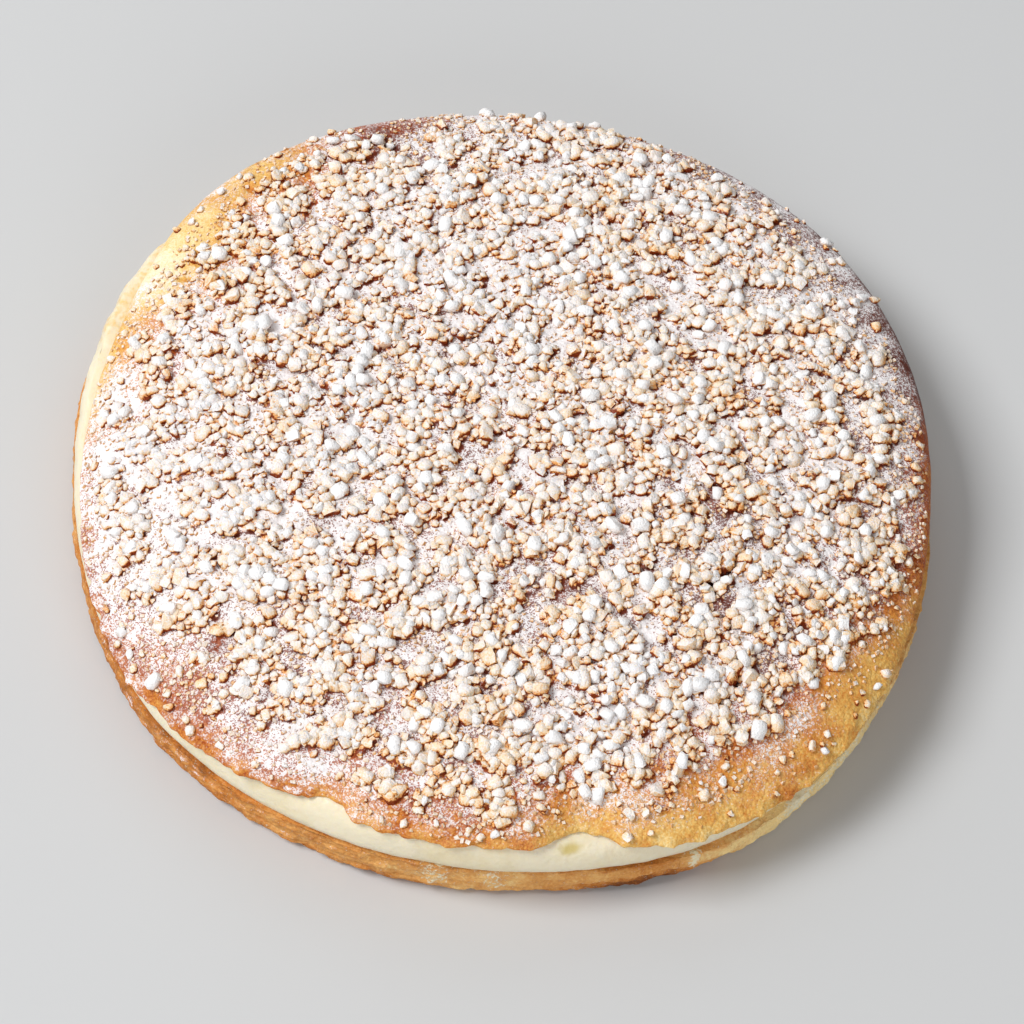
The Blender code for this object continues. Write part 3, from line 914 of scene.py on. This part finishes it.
def scatter_tree():
    """Geometry nodes that strew sugar over a surface.

    Spots are spaced apart in clumps, each with a rounded block, and no two blocks are alike."""
    tree, given = new_tree("strewn_sugar", "Geometry", (
        ("Surface", "Object"),
        ("Where", "String", "sugar"),
        ("Spacing", "Float", 2.7 * MM),
        ("Coverage", "Float", 0.9),
        ("Clump Size", "Float", CLUMP_SIZE),
        ("Gaps", "Float", CLUMP_GAPS),
        ("In The Gaps", "Float", 0.0),
        ("Corners A Side", "Int", 3),
        ("Smallest", "Float", 2.0 * MM),
        ("Largest", "Float", 4.2 * MM),
        ("Longest", "Float", 1.3),
        ("Flattest", "Float", 0.62),
        ("Roundness", "Float", 0.7),
        ("Lift", "Float", 0.1),
        ("Lumps", "Float", 0.8 * MM),
        ("Lump Size", "Float", 2.1 * MM),
        ("Sharp Edge", "Float", 1.3),
        ("Seed", "Int", 1),
        ("Finish", "Material"),
    ), (("Geometry", "Geometry"),))

    def named(name, kind):
        return add(tree, "GeometryNodeInputNamedAttribute", {"Name": name}, data_type=kind).outputs[0]

    def draw(low, high, layer):
        links = {"Seed": sums(tree, "ADD", given["Seed"], layer), 2: low, 3: high}
        return add(tree, "FunctionNodeRandomValue", links, data_type="FLOAT").outputs[1]

    def place():
        return add(tree, "GeometryNodeInputPosition").outputs[0]

    surface = add(tree, "GeometryNodeObjectInfo", {"Object": given["Surface"]}, transform_space="RELATIVE")
    wanted = named(given["Where"], "FLOAT")
    clump = clump_field(tree, place(), given["Clump Size"], given["Gaps"], wanted)
    clump = sums(tree, "ABSOLUTE", sums(tree, "SUBTRACT", given["In The Gaps"], clump))
    known = stretch(tree, wanted, 0.0, 0.1)
    share = sums(tree, "MULTIPLY", sums(tree, "MULTIPLY", known, given["Coverage"]), clump, clamp=True)
    spots = add(tree, "GeometryNodeDistributePointsOnFaces", {
        "Mesh": surface.outputs["Geometry"],
        "Distance Min": given["Spacing"],
        "Density Max": MOST_SPOTS,
        "Density Factor": share,
        "Seed": given["Seed"],
    }, distribute_method="POISSON")
    chance = sums(tree, "POWER", draw(0.0, 1.0, 11), 1.6)
    spread = sums(tree, "SUBTRACT", given["Largest"], given["Smallest"])
    width = weighted(tree, spread, chance, given["Smallest"])
    long, flat = draw(0.9, given["Longest"], 12), draw(given["Flattest"], 0.9, 14)
    shape = add(tree, "ShaderNodeCombineXYZ", {0: long, 1: draw(0.78, 1.0, 13), 2: flat})
    size = vectors(tree, "SCALE", shape.outputs[0], scale=width)
    links = {0: draw(-0.5, 0.5, 15), 1: draw(-0.5, 0.5, 16), 2: draw(0.0, FULL_TURN, 17)}
    spin = add(tree, "ShaderNodeCombineXYZ", links)
    turn = add(tree, "FunctionNodeRotateRotation", {
        "Rotation": spots.outputs["Rotation"],
        "Rotate By": add(tree, "FunctionNodeEulerToRotation", {0: spin.outputs[0]}).outputs[0],
    }, rotation_space="LOCAL")
    kept = keep_value(tree, spots.outputs["Points"], "tone", draw(0.0, 1.0, 18))
    kept = keep_value(tree, kept, "seat", place(), "FLOAT_VECTOR")
    kept = keep_value(tree, kept, "up", spots.outputs["Normal"], "FLOAT_VECTOR")
    lift = sums(tree, "MULTIPLY", width, given["Lift"])
    raised = vectors(tree, "SCALE", spots.outputs["Normal"], scale=lift)
    placed = add(tree, "GeometryNodeSetPosition", {"Geometry": kept, "Offset": raised})
    corners = given["Corners A Side"]
    links = {"Size": (1, 1, 1), "Vertices X": corners, "Vertices Y": corners, "Vertices Z": corners}
    block = add(tree, "GeometryNodeMeshCube", links)
    corner = place()
    ball = vectors(tree, "SCALE", vectors(tree, "NORMALIZE", corner), scale=0.56)
    links = {"Factor": given["Roundness"], 4: corner, 5: ball}
    rounded = add(tree, "ShaderNodeMix", links, data_type="VECTOR").outputs[1]
    nib = add(tree, "GeometryNodeSetPosition", {"Geometry": block.outputs[0], "Position": rounded})
    strewn = add(tree, "GeometryNodeInstanceOnPoints", {
        "Points": placed.outputs[0],
        "Instance": nib.outputs[0],
        "Rotation": turn.outputs[0],
        "Scale": size,
    })
    real = add(tree, "GeometryNodeRealizeInstances", {0: strewn.outputs[0]})
    jitter = add(tree, "ShaderNodeCombineXYZ", {0: sums(tree, "MULTIPLY", named("tone", "FLOAT"), 0.5)})
    apart = vectors(tree, "ADD", place(), jitter.outputs[0])
    lump_scale = sums(tree, "DIVIDE", 1.0, given["Lump Size"])
    links = {"Vector": apart, "Scale": lump_scale, "Detail": 2.0, "Roughness": 0.6}
    lump = add(tree, "ShaderNodeTexNoise", links)
    shift = vectors(tree, "SUBTRACT", lump.outputs["Color"], (0.5, 0.5, 0.5))
    reach = vectors(tree, "SCALE", shift, scale=sums(tree, "MULTIPLY", given["Lumps"], 2.0))
    lumpy = add(tree, "GeometryNodeSetPosition", {"Geometry": real.outputs[0], "Offset": reach})
    stem = vectors(tree, "SUBTRACT", place(), named("seat", "FLOAT_VECTOR"))
    above = vectors(tree, "DOT_PRODUCT", stem, named("up", "FLOAT_VECTOR"))
    told = keep_value(tree, lumpy.outputs[0], "rise", above)
    for name in ("seat", "up"):
        told = add(tree, "GeometryNodeRemoveAttribute", {"Geometry": told, "Name": name}).outputs[0]
    smooth = add(tree, "GeometryNodeSetShadeSmooth", {"Geometry": told, "Shade Smooth": True})
    fold = add(tree, "GeometryNodeInputMeshEdgeAngle").outputs[0]
    links = {0: fold, 1: given["Sharp Edge"]}
    sharp = add(tree, "FunctionNodeCompare", links, operation="GREATER_THAN").outputs[0]
    links = {"Geometry": smooth.outputs[0], "Selection": sharp, "Shade Smooth": False}
    edged = add(tree, "GeometryNodeSetShadeSmooth", links, domain="EDGE")
    links = {"Geometry": edged.outputs[0], "Material": given["Finish"]}
    finished = add(tree, "GeometryNodeSetMaterial", links)
    add(tree, "NodeGroupOutput", {"Geometry": finished.outputs[0]})
    return tree


STREWN_SUGAR = scatter_tree()


def strew(name, finish, **sizes):
    """Strews sugar over the lid and returns it as one plain mesh."""
    values = {key.replace("_", " "): value for key, value in sizes.items()}
    values.update(Surface=lid, Finish=finish)
    maker = new_object(name + "_maker", bpy.data.meshes.new(name))
    mesh = mesh_through(maker, STREWN_SUGAR, values)
    bpy.data.objects.remove(maker)
    mesh.name = name
    piece = new_object(name, mesh)
    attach(piece, "root")
    return piece


def sugar_material(name, tones, clear, glow, dust, crumb_size):
    """Sugar with icing sugar on top. clear is how much light passes into it, and glow how far by colour.

    dust is (amount anywhere, share of the dust on the crust)."""
    material, tree, shader = new_material(name, 0.6, 0.12)
    shader.inputs["Subsurface Weight"].default_value = clear
    shader.inputs["Subsurface Radius"].default_value = glow
    shader.inputs["Subsurface Scale"].default_value = 1.2 * MM
    # Low down on each nib the colour runs to the foot tone: partly caramel, partly painted shade where the
    # nib meets the crust
    rise = stretch(tree, mask_of(tree, "rise"), -0.4 * MM, 1.2 * MM)
    skin = sugar_skin(tree, weighted(tree, mask_of(tree, "tone"), 0.6, rise), crumb_size, tones)
    amount = weighted(tree, mask_of(tree, "dust"), dust[1], dust[0])
    colour = dusted(tree, skin["Colour"], amount, (0.92, 0.84, 0.80, 1))[0]
    tree.links.new(colour, shader.inputs["Base Color"])
    bump(tree, shader, (skin["Grit"], 0.5 * MM))
    return material


def clear_dust_and_paint_shade(nibs):
    """Clears the dust from the crust close under the nibs, on their side away from the light, and paints it
    darker there: partly bare crust, partly painted shadow.
    """
    corners = len(nibs.data.vertices)
    points = np.empty(corners * 3)
    nibs.data.vertices.foreach_get("co", points)
    centres = points.reshape(-1, NIB_CORNERS, 3).mean(axis=1) - np.array(TOWARDS_LIGHT_AND_DUST)
    tree = kdtree.KDTree(len(centres))
    for number, centre in enumerate(centres.tolist()):
        tree.insert(centre, number)
    tree.balance()
    away = np.array([tree.find(vertex.co)[2] for vertex in lid.data.vertices])
    shaded_and_bare = 1 - ease(away, *SHADE_AND_SHELTER_REACH)
    for name, change in (("dust", -0.95), ("bake", 0.04)):
        layer = lid.data.attributes[name].data
        values = np.empty(len(away), np.float32)
        layer.foreach_get("value", values)
        layer.foreach_set("value", (values + change * shaded_and_bare).astype(np.float32))


toasted = sugar_material("toasted_sugar", TOASTED, 0.35, (1.0, 0.85, 0.7), (-0.65, 1.25), 1.2 * MM)
toasted_nibs = strew(
    "toasted_nibs",
    toasted,
    Spacing=2.4 * MM,
    Coverage=1.0,
    Gaps=CLUMP_GAPS - 0.015,
    Smallest=2.0 * MM,
    Largest=4.4 * MM,
    Flattest=0.54,
    Roundness=0.58,
    Lift=-0.03,
    Lumps=1.25 * MM,
    Lump_Size=1.7 * MM,
    Seed=3,
)
strew(
    "stray_nibs",
    toasted,
    Where="strays",
    Spacing=3.0 * MM,
    Coverage=0.3,
    Gaps=-0.2,
    Smallest=1.2 * MM,
    Largest=3.0 * MM,
    Roundness=0.68,
    Lift=0.1,
    Lumps=0.9 * MM,
    Lump_Size=1.5 * MM,
    Seed=53,
)

# ----------------------------------------------------------------------
# Crushed sugar: nibs broken to 1.5 to 2.5 mm among the whole ones, and crumbs of about 1 mm that lie
# in the gaps and here and there along the front margin.

strew(
    "broken_nibs",
    toasted,
    Spacing=2.1 * MM,
    Coverage=0.7,
    Gaps=CLUMP_GAPS - 0.04,
    Smallest=1.4 * MM,
    Largest=2.6 * MM,
    Lift=0.05,
    Lumps=0.75 * MM,
    Lump_Size=1.3 * MM,
    Seed=29,
)
CRUMB_TONES = {
    "Foot": (0.76, 0.42, 0.17, 1),
    "Side": (0.84, 0.57, 0.33, 1),
    "Body": (0.88, 0.74, 0.60, 1),
    "Crown": (0.89, 0.83, 0.79, 1),
}
crumbly = sugar_material("crushed_sugar", CRUMB_TONES, 0.0, (1.0, 0.85, 0.7), (0.0, 0.8), 0.9 * MM)
strew(
    "sugar_crumbs",
    crumbly,
    Where="crumbs",
    Spacing=1.25 * MM,
    Coverage=0.6,
    Gaps=CLUMP_GAPS + 0.02,
    In_The_Gaps=1.0,
    Corners_A_Side=2,
    Smallest=0.7 * MM,
    Largest=1.5 * MM,
    Lift=0.1,
    Lumps=0.55 * MM,
    Lump_Size=0.8 * MM,
    Seed=41,
)

# ----------------------------------------------------------------------
# White pearl sugar: whole nibs of 2 to 4 mm, pressed from plain white sugar and strewn on last. They
# lie on top of the toasted ones and stay dry and bright.

# The brown foot tone of these dry white nibs is painted shade where each meets what lies under it
WHITE = {
    "Foot": (0.74, 0.50, 0.34, 1),
    "Side": (0.88, 0.80, 0.75, 1),
    "Body": (0.93, 0.905, 0.90, 1),
    "Crown": (0.945, 0.935, 0.94, 1),
}
white = sugar_material("white_sugar", WHITE, 0.4, (1.0, 0.96, 0.92), (0.0, 0.0), 1.8 * MM)
strew(
    "white_nibs",
    white,
    Where="pearls",
    Spacing=3.5 * MM,
    Coverage=0.6,
    Gaps=CLUMP_GAPS - 0.12,
    Smallest=1.9 * MM,
    Largest=4.1 * MM,
    Longest=1.4,
    Flattest=0.5,
    Roundness=0.66,
    Lift=0.2,
    Lumps=1.3 * MM,
    Lump_Size=1.9 * MM,
    Seed=71,
)
# This comes after all the sugar, because the grains take their own dust from the crust under them
clear_dust_and_paint_shade(toasted_nibs)

# ----------------------------------------------------------------------
# The photograph's setting, no part of the tart: a plain pale table, a soft key light from the upper left
# with two weak fills, and a high camera.

TABLE_SIDE = 12.0
table_mesh = bpy.data.meshes.new("table")
half = TABLE_SIDE / 2
table_corners = [(-half, -half, 0), (half, -half, 0), (half, half, 0), (-half, half, 0)]
table_mesh.from_pydata(table_corners, [], [(0, 1, 2, 3)])
table = new_object("table", table_mesh)
table_finish, _, table_shader = new_material("table", 0.8, 0.2)
table_shader.inputs["Base Color"].default_value = (0.575, 0.581, 0.586, 1)
table.data.materials.append(table_finish)

PHOTO_WIDTH = 1024
CAKE_WIDTH = 240 * MM
CAKE_WIDTH_IN_PHOTO = 860
CAMERA_ELEVATION = math.radians(58)
CAMERA_ROLL = math.radians(10)
CAMERA_DISTANCE = 0.9
VIEW_WIDTH = PHOTO_WIDTH * CAKE_WIDTH / CAKE_WIDTH_IN_PHOTO
AIM = Vector((2.68 * MM, -12.0 * MM, 20 * MM))


def look(elevation, roll):
    """The camera's own axes: right, up and back, turned by the roll."""
    right = Vector((1, 0, 0))
    up = Vector((0, math.sin(elevation), math.cos(elevation)))
    back = Vector((0, -math.cos(elevation), math.sin(elevation)))
    turned = right * math.cos(roll) + up * math.sin(roll)
    risen = up * math.cos(roll) - right * math.sin(roll)
    return Matrix((turned, risen, back)).transposed().to_4x4(), back


lens = bpy.data.cameras.new("camera")
camera = new_object("camera", lens)
axes, backwards = look(CAMERA_ELEVATION, CAMERA_ROLL)
camera.matrix_world = Matrix.Translation(AIM + backwards * CAMERA_DISTANCE) @ axes
lens.sensor_width = 36
lens.lens = lens.sensor_width * CAMERA_DISTANCE / VIEW_WIDTH
bpy.context.scene.camera = camera


def soft_light(name, towards, distance, side, power):
    """A square lamp that faces the cake from a direction."""
    lamp = bpy.data.lights.new(name, "AREA")
    lamp.size = side
    lamp.energy = power
    holder = new_object(name, lamp)
    direction = Vector(towards).normalized()
    facing = direction.to_track_quat("Z", "Y").to_matrix().to_4x4()
    holder.matrix_world = Matrix.Translation(direction * distance) @ facing


soft_light("key", (-0.606, -0.13, 0.785), 3.0, 1.2, 77.5)
soft_light("back_fill", (-0.41, 0.709, 0.574), 1.5, 1.2, 5)
soft_light("front_fill", (0.30, -0.86, 0.41), 1.5, 1.0, 7.5)
world = bpy.data.worlds.new("studio")
world.use_nodes = True
world.node_tree.nodes["Background"].inputs["Color"].default_value = (1, 1, 1, 1)
world.node_tree.nodes["Background"].inputs["Strength"].default_value = 0.24
bpy.context.scene.world = world
bpy.context.scene.view_settings.view_transform = "Standard"
